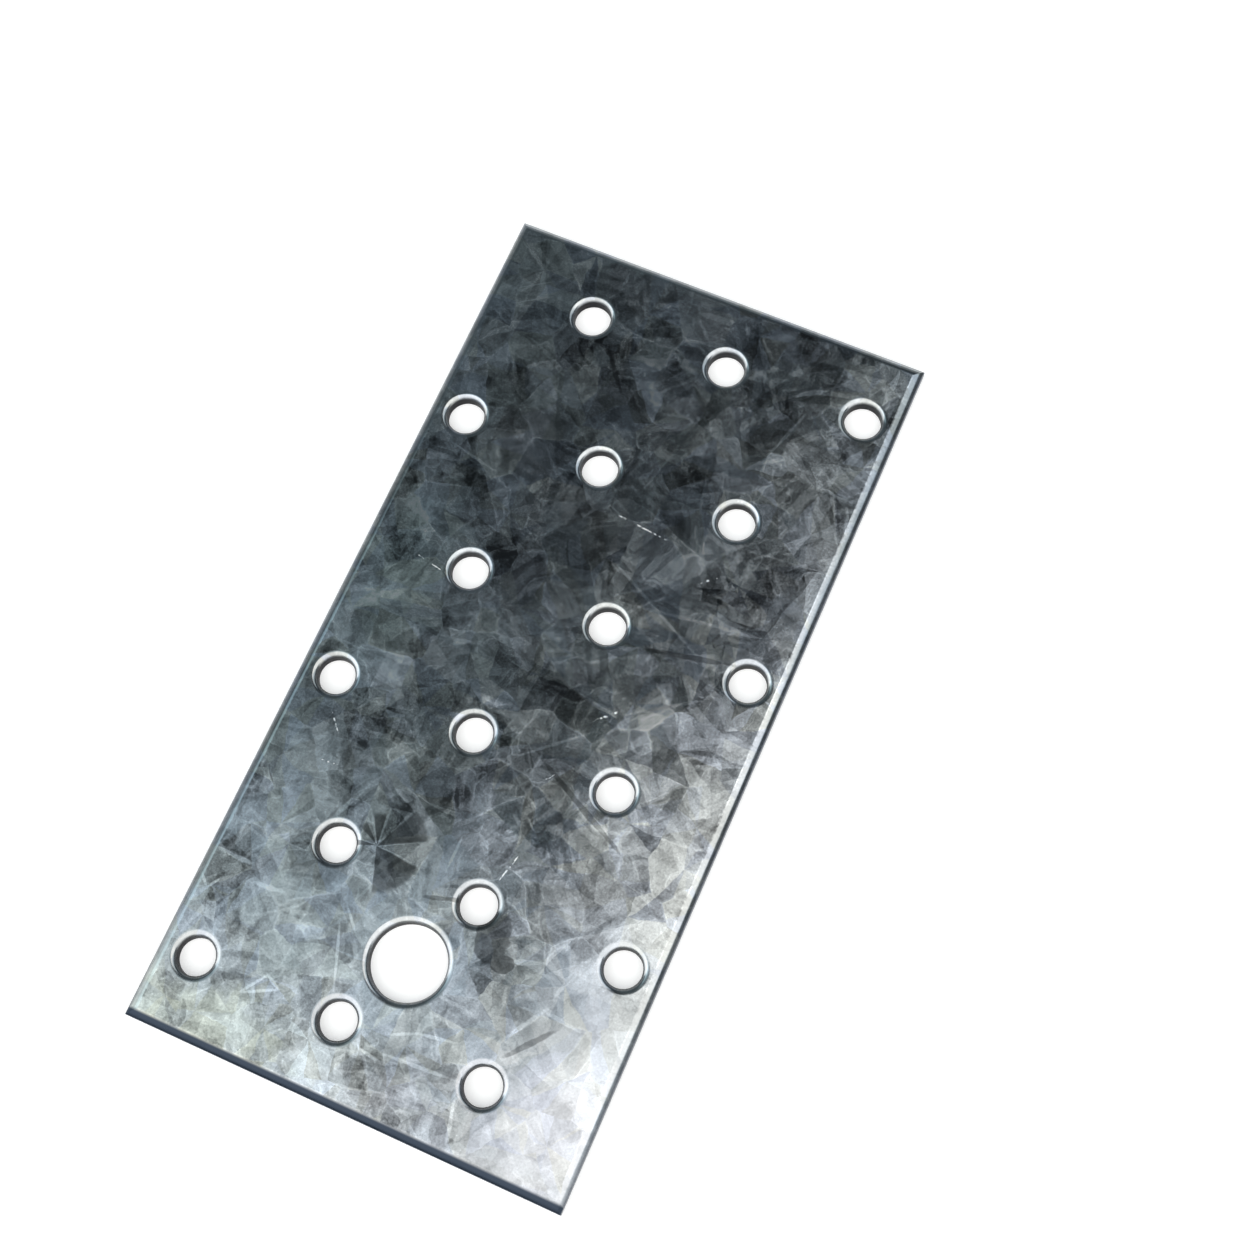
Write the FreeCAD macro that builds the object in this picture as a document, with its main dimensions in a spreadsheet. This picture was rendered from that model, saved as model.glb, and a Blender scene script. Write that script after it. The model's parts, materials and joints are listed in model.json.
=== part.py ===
import FreeCAD, Part
import Sketcher
import math
import os

# Perforated plate: a flat connector for timber, punched and cut from galvanised steel strip.
# Millimetres. X runs across the width, Y along the length and Z up through the sheet.
# The origin is the middle of the underside. Shear and punch came down from above, so the upper
# edges of the outline and of every hole are drawn in and rolled over, and the lower are sharp.

NODE = "perforated_plate"

DIMENSIONS = [
    ("length", 120, "plate length"),
    ("width", 60, "plate width"),
    ("thickness", 2, "sheet thickness"),
    ("column_pitch", 10, "distance between neighbouring columns of nail holes"),
    ("row_pitch", 20, "distance between neighbouring rows of nail holes"),
    ("nail_hole_diameter", 5, "hole for an anchor nail or a connector screw"),
    ("bolt_hole_diameter", 10, "hole for a bolt or a coach screw"),
    ("rim_roll_width", 1, "how far around a hole the punch drew the face in"),
    ("rim_roll_depth", 0.4, "how deep the rolled face ends in the hole"),
    ("edge_roll_width", 1.3, "how far in from the outline the shear drew the face in"),
    ("edge_roll_depth", 0.5, "how deep the rolled face ends at the outline"),
]

# The nail holes form a staggered grid. Its repeating cell spans two columns and two rows and
# holds two nail holes, one up to the right of the cell's middle and one down to the left.
# The plate takes as many whole cells as keep a quarter of a hole's width of sheet beside each hole.
# The bolt hole lies between the two rows of the nearest cells, on the plate's centre line.
EDGE_DISTANCE = "0.75 * Sizes.nail_hole_diameter"
CELLS_ACROSS = f"floor(((Sizes.width - 2 * {EDGE_DISTANCE}) / Sizes.column_pitch + 1) / 2)"
CELLS_ALONG = f"floor(((Sizes.length - 2 * {EDGE_DISTANCE}) / Sizes.row_pitch + 1) / 2)"
FIRST_CELL_X = f"-({CELLS_ACROSS} - 1) * Sizes.column_pitch"
FIRST_CELL_Y = f"-({CELLS_ALONG} - 1) * Sizes.row_pitch"

# Names for the points and lines that every sketch has, and for the ends of its curves.
SKETCH_ORIGIN = (-1, 1)
SKETCH_UPRIGHT = -2
START = 1
END = 2


def make_sheet(doc):
    """The driving dimensions, one row each: name, value and meaning."""
    sheet = doc.addObject("Spreadsheet::Sheet", "Sizes")
    for row, (alias, value, meaning) in enumerate(DIMENSIONS, start=1):
        sheet.set(f"A{row}", alias)
        sheet.set(f"B{row}", str(value))
        sheet.set(f"C{row}", meaning)
        sheet.setAlias(f"B{row}", alias)
    doc.recompute()
    return sheet


def size(sheet, name):
    return float(sheet.get(name))


def origin_feature(body, role):
    """One of the body's own planes or axes, by its role."""
    for feature in body.Origin.OriginFeatures:
        if feature.Role == role:
            return feature
    raise ValueError(f"the body has no {role}")


def new_sketch(body, name, plane):
    """An empty sketch on one of the body's own planes."""
    sketch = body.newObject("Sketcher::SketchObject", name)
    sketch.AttachmentSupport = (origin_feature(body, plane), [""])
    sketch.MapMode = "FlatFace"
    return sketch


def add_line(sketch, start, end):
    return sketch.addGeometry(Part.LineSegment(FreeCAD.Vector(*start), FreeCAD.Vector(*end)))


def add_roll(sketch, crest, width, depth, side):
    """The arc of a rolled edge. It leaves the flat face at its crest and falls to the given side."""
    radius = (width**2 + depth**2) / (2 * depth)
    fall = side * math.atan2(width, radius - depth)
    centre = FreeCAD.Vector(crest[0], crest[1] - radius)
    circle = Part.Circle(centre, FreeCAD.Vector(0, 0, 1), radius)
    upright = math.pi / 2
    angles = sorted((upright, upright - fall))
    return sketch.addGeometry(Part.ArcOfCircle(circle, *angles))


def constrain(sketch, *arguments):
    return sketch.addConstraint(Sketcher.Constraint(*arguments))


def drive(sketch, name, expression, *arguments):
    """Adds a named dimension to a sketch and ties it to the sheet."""
    index = constrain(sketch, *arguments)
    sketch.renameConstraint(index, name)
    sketch.setExpression(f"Constraints.{name}", expression)


def make_strip(body, sheet):
    """The slit strip: its cross section, with both upper edges rolled over, drawn out to length."""
    width = size(sheet, "width")
    top = size(sheet, "thickness")
    roll_width = size(sheet, "edge_roll_width")
    roll_depth = size(sheet, "edge_roll_depth")
    half = width / 2
    crest = half - roll_width
    wall_head = top - roll_depth

    section = new_sketch(body, "StripSection", "XZ_Plane")
    underside = add_line(section, (-half, 0), (half, 0))
    right_wall = add_line(section, (half, 0), (half, wall_head))
    right_roll = add_roll(section, (crest, top), roll_width, roll_depth, 1)
    face = add_line(section, (crest, top), (-crest, top))
    left_roll = add_roll(section, (-crest, top), roll_width, roll_depth, -1)
    left_wall = add_line(section, (-half, wall_head), (-half, 0))

    constrain(section, "Coincident", underside, END, right_wall, START)
    constrain(section, "Coincident", right_wall, END, right_roll, START)
    constrain(section, "Tangent", right_roll, END, face, START)
    constrain(section, "Tangent", face, END, left_roll, START)
    constrain(section, "Coincident", left_roll, END, left_wall, START)
    constrain(section, "Coincident", left_wall, END, underside, START)
    constrain(section, "Horizontal", underside)
    constrain(section, "Vertical", right_wall)
    constrain(section, "Symmetric", underside, START, underside, END, *SKETCH_ORIGIN)
    constrain(section, "Symmetric", face, START, face, END, SKETCH_UPRIGHT)
    constrain(section, "Symmetric", right_wall, END, left_wall, START, SKETCH_UPRIGHT)
    drive(section, "width", "Sizes.width", "DistanceX", underside, START, underside, END, width)
    drive(section, "height", "Sizes.thickness", "DistanceY", right_wall, START, face, START, top)
    drive(section, "roll_width", "Sizes.edge_roll_width",
          "DistanceX", face, START, right_wall, END, roll_width)
    drive(section, "roll_depth", "Sizes.edge_roll_depth",
          "DistanceY", right_wall, END, face, START, roll_depth)

    strip = body.newObject("PartDesign::Pad", "Strip")
    strip.Profile = section
    strip.SideType = "Symmetric"
    strip.setExpression("Length", "Sizes.length")
    body.Document.recompute()
    return strip


def roll_ends(body, sheet):
    """Rolls over the upper edges of the two ends, where the strip was cut to length."""
    end_y = size(sheet, "length") / 2
    top = size(sheet, "thickness")
    roll_width = size(sheet, "edge_roll_width")
    roll_depth = size(sheet, "edge_roll_depth")
    crest = (end_y - roll_width, top)
    corner = (end_y, top)
    wall_head = (end_y, top - roll_depth)

    profile = new_sketch(body, "EndRollProfile", "YZ_Plane")
    roll = add_roll(profile, crest, roll_width, roll_depth, 1)
    above = add_line(profile, crest, corner)
    beside = add_line(profile, corner, wall_head)
    constrain(profile, "Tangent", roll, END, above, START)
    constrain(profile, "Coincident", above, END, beside, START)
    constrain(profile, "Coincident", beside, END, roll, START)
    constrain(profile, "Horizontal", above)
    constrain(profile, "Vertical", beside)
    drive(profile, "end", "Sizes.length / 2", "DistanceX", *SKETCH_ORIGIN, above, END, end_y)
    drive(profile, "height", "Sizes.thickness", "DistanceY", *SKETCH_ORIGIN, above, END, top)
    drive(profile, "roll_width", "Sizes.edge_roll_width",
          "DistanceX", above, START, above, END, roll_width)
    drive(profile, "roll_depth", "Sizes.edge_roll_depth",
          "DistanceY", beside, END, beside, START, roll_depth)

    far_end = body.newObject("PartDesign::Pocket", "FarEndRoll")
    far_end.Profile = profile
    far_end.Type = "ThroughAll"
    far_end.SideType = "Symmetric"
    body.Document.recompute()

    both_ends = body.newObject("PartDesign::Mirrored", "EndRolls")
    both_ends.Originals = [far_end]
    both_ends.MirrorPlane = (origin_feature(body, "XZ_Plane"), [""])
    body.Tip = both_ends
    body.Document.recompute()
    return both_ends


def punch(body, sheet, name, diameter, centre_x, centre_y):
    """One punched hole: a straight wall that opens into a rolled rim at the upper face."""
    radius = size(sheet, diameter) / 2
    top = size(sheet, "thickness")
    roll_width = size(sheet, "rim_roll_width")
    roll_depth = size(sheet, "rim_roll_depth")
    crest = (radius + roll_width, top)
    wall_head = (radius, top - roll_depth)

    profile = new_sketch(body, name + "Profile", "XZ_Plane")
    profile.setExpression("AttachmentOffset.Base.x", centre_x)
    profile.setExpression("AttachmentOffset.Base.z", f"-({centre_y})")
    foot = add_line(profile, (0, 0), (radius, 0))
    wall = add_line(profile, (radius, 0), wall_head)
    roll = add_roll(profile, crest, roll_width, roll_depth, -1)
    mouth = add_line(profile, crest, (0, top))
    axis = add_line(profile, (0, top), (0, 0))
    constrain(profile, "Coincident", foot, START, *SKETCH_ORIGIN)
    constrain(profile, "Coincident", foot, END, wall, START)
    constrain(profile, "Coincident", wall, END, roll, END)
    constrain(profile, "Tangent", roll, START, mouth, START)
    constrain(profile, "Coincident", mouth, END, axis, START)
    constrain(profile, "Coincident", axis, END, foot, START)
    constrain(profile, "Horizontal", foot)
    constrain(profile, "Vertical", wall)
    constrain(profile, "Horizontal", mouth)
    constrain(profile, "Vertical", axis)
    drive(profile, "radius", f"Sizes.{diameter} / 2", "DistanceX", foot, START, foot, END, radius)
    drive(profile, "height", "Sizes.thickness", "DistanceY", axis, END, axis, START, top)
    drive(profile, "roll_width", "Sizes.rim_roll_width",
          "DistanceX", wall, END, mouth, START, roll_width)
    drive(profile, "roll_depth", "Sizes.rim_roll_depth",
          "DistanceY", wall, END, mouth, START, roll_depth)

    hole = body.newObject("PartDesign::Groove", name)
    hole.Profile = profile
    hole.ReferenceAxis = (profile, ["V_Axis"])
    hole.Angle = 360
    body.Document.recompute()
    return hole


def cell_run(body, name, axis, pitch, count):
    """A straight run of cells along one of the body's axes, two pitches apart."""
    run = body.newObject("PartDesign::LinearPattern", name)
    run.Direction = (origin_feature(body, axis), [""])
    run.Mode = "Spacing"
    run.setExpression("Offset", f"2 * Sizes.{pitch}")
    run.setExpression("Occurrences", count)
    return run


def repeat_cell(body, holes):
    """Repeats the two nail holes of the first cell over the whole plate."""
    grid = body.newObject("PartDesign::MultiTransform", "NailHoleGrid")
    grid.Originals = holes
    across = cell_run(body, "CellsAcross", "X_Axis", "column_pitch", CELLS_ACROSS)
    along = cell_run(body, "CellsAlong", "Y_Axis", "row_pitch", CELLS_ALONG)
    grid.Transformations = [across, along]
    body.Tip = grid
    body.Document.recompute()
    return grid, len(holes) * across.Occurrences * along.Occurrences


def end_roll_volume(sheet):
    """Less than the rolled edges of both ends take out of the strip, but more than one does."""
    section = size(sheet, "edge_roll_width") * size(sheet, "edge_roll_depth") / 4
    return section * (2 * size(sheet, "width") - 4 * size(sheet, "edge_roll_width"))


def bore_volume(sheet, diameter):
    """What a straight hole of this diameter takes out of the sheet."""
    return math.pi * size(sheet, diameter) ** 2 / 4 * size(sheet, "thickness")


def check_cut(before, after, least):
    """Stops the build if a cut took away less than it should."""
    removed = before.Shape.Volume - after.Shape.Volume
    if removed < least:
        raise RuntimeError(f"{after.Name} removed {removed:.2f} mm3, and not {least:.2f} or more")


def check_document(doc):
    """Stops the build if any object failed to compute."""
    for item in doc.Objects:
        if "Invalid" in item.State or "Error" in item.State:
            raise RuntimeError(f"{item.Name} failed to compute: {item.State}")


def build_plate(doc, sheet):
    """The whole plate as one body."""
    body = doc.addObject("PartDesign::Body", "Plate")
    body.Label = NODE
    strip = make_strip(body, sheet)
    blank = roll_ends(body, sheet)
    check_cut(strip, blank, end_roll_volume(sheet))

    bolt_hole = punch(body, sheet, "BoltHole", "bolt_hole_diameter", "0", FIRST_CELL_Y)
    check_cut(blank, bolt_hole, bore_volume(sheet, "bolt_hole_diameter"))

    cell_holes = []
    for name, side in (("NailHoleLower", "-"), ("NailHoleUpper", "+")):
        centre_x = f"{FIRST_CELL_X} {side} Sizes.column_pitch / 2"
        centre_y = f"{FIRST_CELL_Y} {side} Sizes.row_pitch / 2"
        cell_holes.append(punch(body, sheet, name, "nail_hole_diameter", centre_x, centre_y))
    grid, count = repeat_cell(body, cell_holes)
    check_cut(bolt_hole, grid, count * bore_volume(sheet, "nail_hole_diameter"))
    return body


def export(body):
    """Writes the finished solid to its file."""
    shape = body.Shape
    if shape.isNull() or not shape.isValid() or len(shape.Solids) != 1:
        raise RuntimeError(f"{body.Label} is not one valid solid")
    os.makedirs("parts", exist_ok=True)
    shape.exportStep(f"parts/{body.Label}.step")


document = FreeCAD.newDocument("PerforatedPlate")
sizes = make_sheet(document)
plate = build_plate(document, sizes)
document.recompute()
check_document(document)
export(plate)
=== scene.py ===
import bmesh
import bpy
import json
import math
from collections import namedtuple
from mathutils import Matrix, Vector


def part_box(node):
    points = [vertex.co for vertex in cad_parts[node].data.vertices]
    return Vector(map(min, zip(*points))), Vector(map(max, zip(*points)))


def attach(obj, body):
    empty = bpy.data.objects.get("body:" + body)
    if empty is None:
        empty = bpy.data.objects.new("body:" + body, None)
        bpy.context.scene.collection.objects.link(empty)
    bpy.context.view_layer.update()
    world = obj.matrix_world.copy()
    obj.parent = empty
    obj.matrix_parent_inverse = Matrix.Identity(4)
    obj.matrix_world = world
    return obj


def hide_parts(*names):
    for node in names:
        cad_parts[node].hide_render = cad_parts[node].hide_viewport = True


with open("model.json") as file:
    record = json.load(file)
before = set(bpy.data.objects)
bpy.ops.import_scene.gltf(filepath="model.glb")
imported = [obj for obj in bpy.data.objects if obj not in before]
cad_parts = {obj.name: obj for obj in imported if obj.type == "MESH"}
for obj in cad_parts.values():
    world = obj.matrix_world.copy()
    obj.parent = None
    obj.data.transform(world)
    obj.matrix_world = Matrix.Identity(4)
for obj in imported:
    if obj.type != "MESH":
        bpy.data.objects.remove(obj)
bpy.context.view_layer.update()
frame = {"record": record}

# A flat perforated plate of galvanised steel, lying on a pale floor. Sizes are in metres, apart from
# the patterns of the zinc, which are in millimetres.
NODE = "perforated_plate"
MM = 0.001

# How shear and punch drew the upper edges in: the width and depth of the roll, the small radius by
# which it turns into the wall, the power by which it steepens, and the share of its way to the wall
# after which it takes the dark colour of the wall as painted shade.
Roll = namedtuple("Roll", "width depth turn power scraped_from")
EDGE_ROLL = Roll(1.3 * MM, 0.5 * MM, 0.30 * MM, 2.0, 0.65)
RIM_ROLL = Roll(1.0 * MM, 0.4 * MM, 0.20 * MM, 3.5, 0.70)

# How much of the cut wall's dark colour, bare steel with painted shade, the painted end of a roll and
# the lower chamfer have, and the share of a roll's width, from the wall on, that counts as drawn in.
ROLL_END_SHADE = 0.7
CHAMFER_CUT = 0.5
DRAWN_SHARE = 0.85

# A narrow flat ring beside each roll, the chamfer of the lower edges, and how finely all is made.
FLAT_MARGIN = 0.06 * MM
LOWER_CHAMFER = 0.06 * MM
ROLL_STEPS = 12
TURN_STEPS = 5
HOLE_SEGMENTS = 96
OUTLINE_CORNERS = 4
SHARP_ANGLE = math.radians(32)


def new_piece(name, bm):
    """A mesh object at the origin from a finished bmesh."""
    mesh = bpy.data.meshes.new(name)
    bm.to_mesh(mesh)
    bm.free()
    piece = bpy.data.objects.new(name, mesh)
    bpy.context.scene.collection.objects.link(piece)
    return piece


# The plate


def roll_profile(roll, thickness):
    """How an edge falls from the flat face to the underside: each point's distance from the wall,
    its height, and how much of it belongs to the cut wall, whose dark colour is partly painted shade.
    The roll steepens from nothing, its last stretch is painted dark as shade, and a small arc turns it
    into the wall."""
    slope = math.atan(roll.power * roll.depth / roll.width)
    run = roll.width - roll.turn * (1 - math.sin(slope))
    drop = roll.depth * run / roll.width
    points = [(roll.width + FLAT_MARGIN, thickness, 0)]
    for step in range(ROLL_STEPS + 1):
        share = step / ROLL_STEPS
        # Over the last stretch of the roll, the dark colour of the cut wall is painted in as shade.
        shade_share = max(0, (share - roll.scraped_from) / (1 - roll.scraped_from))
        points.append((roll.width - run * share, thickness - drop * share**roll.power, ROLL_END_SHADE * shade_share))
    turn_height = points[-1][1] - roll.turn * math.cos(slope)
    for step in range(1, TURN_STEPS + 1):
        share = step / TURN_STEPS
        angle = slope + (math.pi / 2 - slope) * share
        distance = roll.turn - roll.turn * math.sin(angle)
        cut = ROLL_END_SHADE + (1 - ROLL_END_SHADE) * share
        points.append((distance, turn_height + roll.turn * math.cos(angle), cut))
    points.append((0, LOWER_CHAMFER, 1))
    points.append((LOWER_CHAMFER, 0, CHAMFER_CUT))
    points.append((LOWER_CHAMFER + FLAT_MARGIN, 0, 0))
    return points


def fall_from_face(bm, ring, centre, half_size, roll, thickness, side, cut):
    """Draws a ring of the flat face down through its rolled edge to the underside, and returns the
    ring that ends there. The half size is the wall's, and side is 1 for a hole and -1 for the outline.
    Cut names the layer that marks the wall and the painted shade at the end of the roll, and the
    layer "drawn" marks all that the tool drew in.
    Only the outline's corners are sharp mitres."""
    marked = bm.verts.layers.float[cut]
    drawn = bm.verts.layers.float["drawn"]
    to_centre = Matrix.Translation(-centre)
    profile = roll_profile(roll, thickness)
    old_size = [size + side * profile[0][0] for size in half_size]
    old_height = profile[0][1]
    for distance, height, share in profile[1:]:
        made = bmesh.ops.extrude_edge_only(bm, edges=ring)["geom"]
        verts = [item for item in made if isinstance(item, bmesh.types.BMVert)]
        ring = [item for item in made if isinstance(item, bmesh.types.BMEdge)]
        for edge in {edge for vert in verts for edge in vert.link_edges}.difference(ring):
            edge.smooth = len(verts) > OUTLINE_CORNERS
        new_size = [size + side * distance for size in half_size]
        factors = (new_size[0] / old_size[0], new_size[1] / old_size[1], 1)
        bmesh.ops.scale(bm, vec=factors, space=to_centre, verts=verts)
        bmesh.ops.translate(bm, vec=(0, 0, height - old_height), verts=verts)
        for vert in verts:
            vert[marked] = share
            vert[drawn] = distance < roll.width * DRAWN_SHARE
        old_size = new_size
        old_height = height
    return ring


def make_plate(holes, low, high):
    """The sheet with its punched holes. Its flat faces are filled between rings of edges."""
    bm = bmesh.new()
    for layer in ("sheared_and_shade", "punched", "drawn"):
        bm.verts.layers.float.new(layer)
    thickness = high.z - low.z
    upper_rings = []

    outline_centre = Vector(((low.x + high.x) / 2, (low.y + high.y) / 2, high.z))
    outline_half = ((high.x - low.x) / 2, (high.y - low.y) / 2)
    flat_half = [size - EDGE_ROLL.width - FLAT_MARGIN for size in outline_half]
    square = bmesh.ops.create_circle(bm, segments=OUTLINE_CORNERS, radius=math.sqrt(2))["verts"]
    bmesh.ops.rotate(bm, cent=(0, 0, 0), matrix=Matrix.Rotation(math.pi / 4, 3, "Z"), verts=square)
    bmesh.ops.scale(bm, vec=(*flat_half, 1), verts=square)
    bmesh.ops.translate(bm, vec=outline_centre, verts=square)
    upper_rings.append((set(square), outline_centre, outline_half, EDGE_ROLL, -1, "sheared_and_shade"))

    for x, y, radius in holes:
        centre = Vector((x, y, high.z))
        flat_radius = radius + RIM_ROLL.width + FLAT_MARGIN
        made = bmesh.ops.create_circle(bm, segments=HOLE_SEGMENTS, radius=flat_radius,
                                       matrix=Matrix.Translation(centre))
        upper_rings.append((set(made["verts"]), centre, (radius, radius), RIM_ROLL, 1, "punched"))

    upper_edges = list(bm.edges)
    bmesh.ops.triangle_fill(bm, use_beauty=True, edges=upper_edges, normal=(0, 0, 1))
    lower_edges = []
    for verts, centre, half_size, roll, side, cut in upper_rings:
        ring = [edge for edge in upper_edges if edge.verts[0] in verts]
        lower_edges += fall_from_face(bm, ring, centre, half_size, roll, thickness, side, cut)
    bmesh.ops.triangle_fill(bm, use_beauty=True, edges=lower_edges, normal=(0, 0, -1))
    bmesh.ops.recalc_face_normals(bm, faces=bm.faces)

    for face in bm.faces:
        face.smooth = True
    for edge in bm.edges:
        edge.smooth = edge.smooth and edge.calc_face_angle(0) < SHARP_ANGLE
    return new_piece("plate", bm)


# Node helpers, with the places of the sockets that have no name of their own

SCALE_INPUT = 3
MIX_FACTOR = 0
MIX_FIRST = 6
MIX_SECOND = 7
MIX_RESULT = 2

# The middle of all random colours.
MIDDLE_COLOUR = (0.5, 0.5, 0.5)


def node(tree, kind, **settings):
    """A new node with the given settings."""
    made = tree.nodes.new(kind)
    for name, value in settings.items():
        setattr(made, name, value)
    return made


def feed(tree, socket, value):
    """Sets a socket to a number or colour, links it to another socket, or leaves it alone."""
    if isinstance(value, bpy.types.NodeSocket):
        tree.links.new(value, socket)
    elif value is not None:
        socket.default_value = value


def calculate(tree, operation, first, second=None, third=None, clamp=False):
    """One step of arithmetic."""
    made = node(tree, "ShaderNodeMath", operation=operation, use_clamp=clamp)
    for socket, value in zip(made.inputs, (first, second, third)):
        feed(tree, socket, value)
    return made.outputs[0]


def combine(tree, operation, first, *others):
    """Takes any number of values together by one operation, such as masks by MULTIPLY."""
    total = first
    for other in others:
        total = calculate(tree, operation, total, other)
    return total


def opposite(tree, mask):
    """One where the mask is nothing, and nothing where it is one."""
    return calculate(tree, "SUBTRACT", 1.0, mask)


def centred(tree, value, amount):
    """A random value from 0 to 1 as a swing of the given amount to both sides of nothing."""
    return calculate(tree, "MULTIPLY_ADD", value, 2 * amount, -amount)


def fade(tree, value, start, end, low=0.0, high=1.0):
    """Goes smoothly from low to high as the value goes from start to end."""
    made = node(tree, "ShaderNodeMapRange", interpolation_type="SMOOTHSTEP")
    for name, item in (("Value", value), ("From Min", start), ("From Max", end)):
        feed(tree, made.inputs[name], item)
    feed(tree, made.inputs["To Min"], low)
    feed(tree, made.inputs["To Max"], high)
    return made.outputs["Result"]


def fade_out(tree, value, start, end):
    """Goes smoothly from one to nothing as the value goes from start to end."""
    return fade(tree, value, start, end, 1.0, 0.0)


def vector_of(tree, operation, first, second=None, scale=None):
    """One step of vector arithmetic. A length comes out as a number."""
    made = node(tree, "ShaderNodeVectorMath", operation=operation)
    feed(tree, made.inputs[0], first)
    feed(tree, made.inputs[1], second)
    feed(tree, made.inputs[SCALE_INPUT], scale)
    return made.outputs["Value" if operation == "LENGTH" else "Vector"]


def shifted(tree, vector, shift):
    """A vector plus another."""
    return vector_of(tree, "ADD", vector, shift)


def scaled(tree, vector, scale):
    """A vector times a number."""
    return vector_of(tree, "SCALE", vector, scale=scale)


def flattened(tree, vector):
    """A vector without its height."""
    return vector_of(tree, "MULTIPLY", vector, (1, 1, 0))


def turned(tree, vector, angle):
    """A vector turned round Z."""
    made = node(tree, "ShaderNodeVectorRotate", rotation_type="Z_AXIS")
    feed(tree, made.inputs["Vector"], vector)
    feed(tree, made.inputs["Angle"], angle)
    return made.outputs["Vector"]


def turns_round(tree, local):
    """The angle of a point round the middle, in turns from 0 to 1."""
    x, y = split(tree, local)[:2]
    turn = calculate(tree, "DIVIDE", calculate(tree, "ARCTAN2", y, x), 2 * math.pi)
    return calculate(tree, "FRACT", calculate(tree, "ADD", turn, 1.0))


def join(tree, x, y, z):
    """A vector of three numbers."""
    made = node(tree, "ShaderNodeCombineXYZ")
    for socket, value in zip(made.inputs, (x, y, z)):
        feed(tree, socket, value)
    return made.outputs[0]


def split(tree, value, kind="ShaderNodeSeparateXYZ"):
    """The three numbers of a vector."""
    made = node(tree, kind)
    feed(tree, made.inputs[0], value)
    return made.outputs[:3]


def chances(tree, colour):
    """The three random numbers in a random colour."""
    return split(tree, colour, "ShaderNodeSeparateColor")


def from_middle(tree, colour):
    """A random colour as a random vector about nothing."""
    return vector_of(tree, "SUBTRACT", colour, MIDDLE_COLOUR)


def mix_colour(tree, factor, first, second, blend="MIX"):
    """Two colours, blended by a factor."""
    made = node(tree, "ShaderNodeMix", data_type="RGBA", blend_type=blend)
    feed(tree, made.inputs[MIX_FACTOR], factor)
    feed(tree, made.inputs[MIX_FIRST], first)
    feed(tree, made.inputs[MIX_SECOND], second)
    return made.outputs[MIX_RESULT]


def grain(tree, vector, size, detail, roughness, output="Fac"):
    """Noise about 0.5 with grains of the given size, in the units of the vector."""
    made = node(tree, "ShaderNodeTexNoise", noise_dimensions="3D")
    feed(tree, made.inputs["Vector"], vector)
    feed(tree, made.inputs["Scale"], 1 / size)
    feed(tree, made.inputs["Detail"], detail)
    feed(tree, made.inputs["Roughness"], roughness)
    return made.outputs[output]


def cells(tree, vector, size, feature="F1"):
    """Flat cells of about the given size."""
    made = node(tree, "ShaderNodeTexVoronoi", voronoi_dimensions="2D", feature=feature)
    feed(tree, made.inputs["Vector"], vector)
    feed(tree, made.inputs["Scale"], 1 / size)
    feed(tree, made.inputs["Randomness"], 1.0)
    return made.outputs


def attribute(tree, name):
    """A layer of the mesh, by its name."""
    return node(tree, "ShaderNodeAttribute", attribute_name=name).outputs["Fac"]


def weighed(tree, patterns, amounts):
    """Each pattern that has an amount, times that amount."""
    return [calculate(tree, "MULTIPLY", patterns[name], amount) for name, amount in amounts.items()]


def swung(tree, patterns, amounts):
    """Each pattern that has an amount, as a swing of that amount."""
    return [centred(tree, patterns[name], amount) for name, amount in amounts.items()]


def new_material(name):
    """An empty material and its tree of nodes."""
    material = bpy.data.materials.new(name)
    material.use_nodes = True
    material.node_tree.nodes.clear()
    return material, material.node_tree


# Galvanised steel

# The colours of zinc, of the sheared edges and of the punched walls, which are bare steel darkened
# by painted shade, the warm and the cool end of the zinc's cast, its roughness and its least tone.
ZINC = (0.50, 0.53, 0.55)
SHEARED_STEEL_AND_SHADE = (0.042, 0.055, 0.078, 1)
PUNCHED_STEEL_AND_SHADE = (0.018, 0.019, 0.022, 1)
CREAM = (1.04, 1.01, 0.95, 1)
LAVENDER = (0.985, 0.99, 1.045, 1)
SHINE = 0.145
LEAST_TONE = 0.15

# The sizes of the large and small crystals, how many arms each has, the lines at their borders as
# shares of that size, and the size of the fine flakes.
LARGE_SIZE = 15.0
LARGE_ARMS = 11
LARGE_BORDER = (0.004, 0.022)
SMALL_SIZE = 7.0
SMALL_ARMS = 5
SMALL_BORDER = (0.008, 0.050)
FLAKE_SIZE = 2.6

# The range of the crystals' seeds, how uneven in width the arms are, and how the fine rays along the
# arms and the slivers beside a crystal's axis run.
SEEDS = 60
ARM_WAVES = 2
ARM_UNEVEN = 0.8
RAYS_ROUND = 16
RAY_DRIFT = 0.15
BARB_SLANT = 0.9
BARBS_ALONG = 0.50
BARBS_ACROSS = 0.14

# Thin coats that ran over the crystals: the size of their lobes, the value of the noise at their
# hems, how far a hem reaches from that value, and the share of it that is full.
COAT_SIZE = 9.0
FINE_COAT_SIZE = 3.8
COAT_HEM = 0.505
HEM_WIDTH = 0.018
FINE_HEM_WIDTH = 0.036
HEM_CORE = 0.25

# Shifts that put the underside, the small crystals and the fine layers out of step with the face and
# the large crystals, and how strongly borders waver.
UNDERSIDE_SHIFT = (170.0, 90.0, 0.0)
SMALL_SHIFT = (31.0, 17.0, 0.0)
FINE_SHIFT = (7.0, 43.0, 0.0)
BEND = 1.8
FINE_BEND = 2.4
STAR_BEND = 0.6

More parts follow.
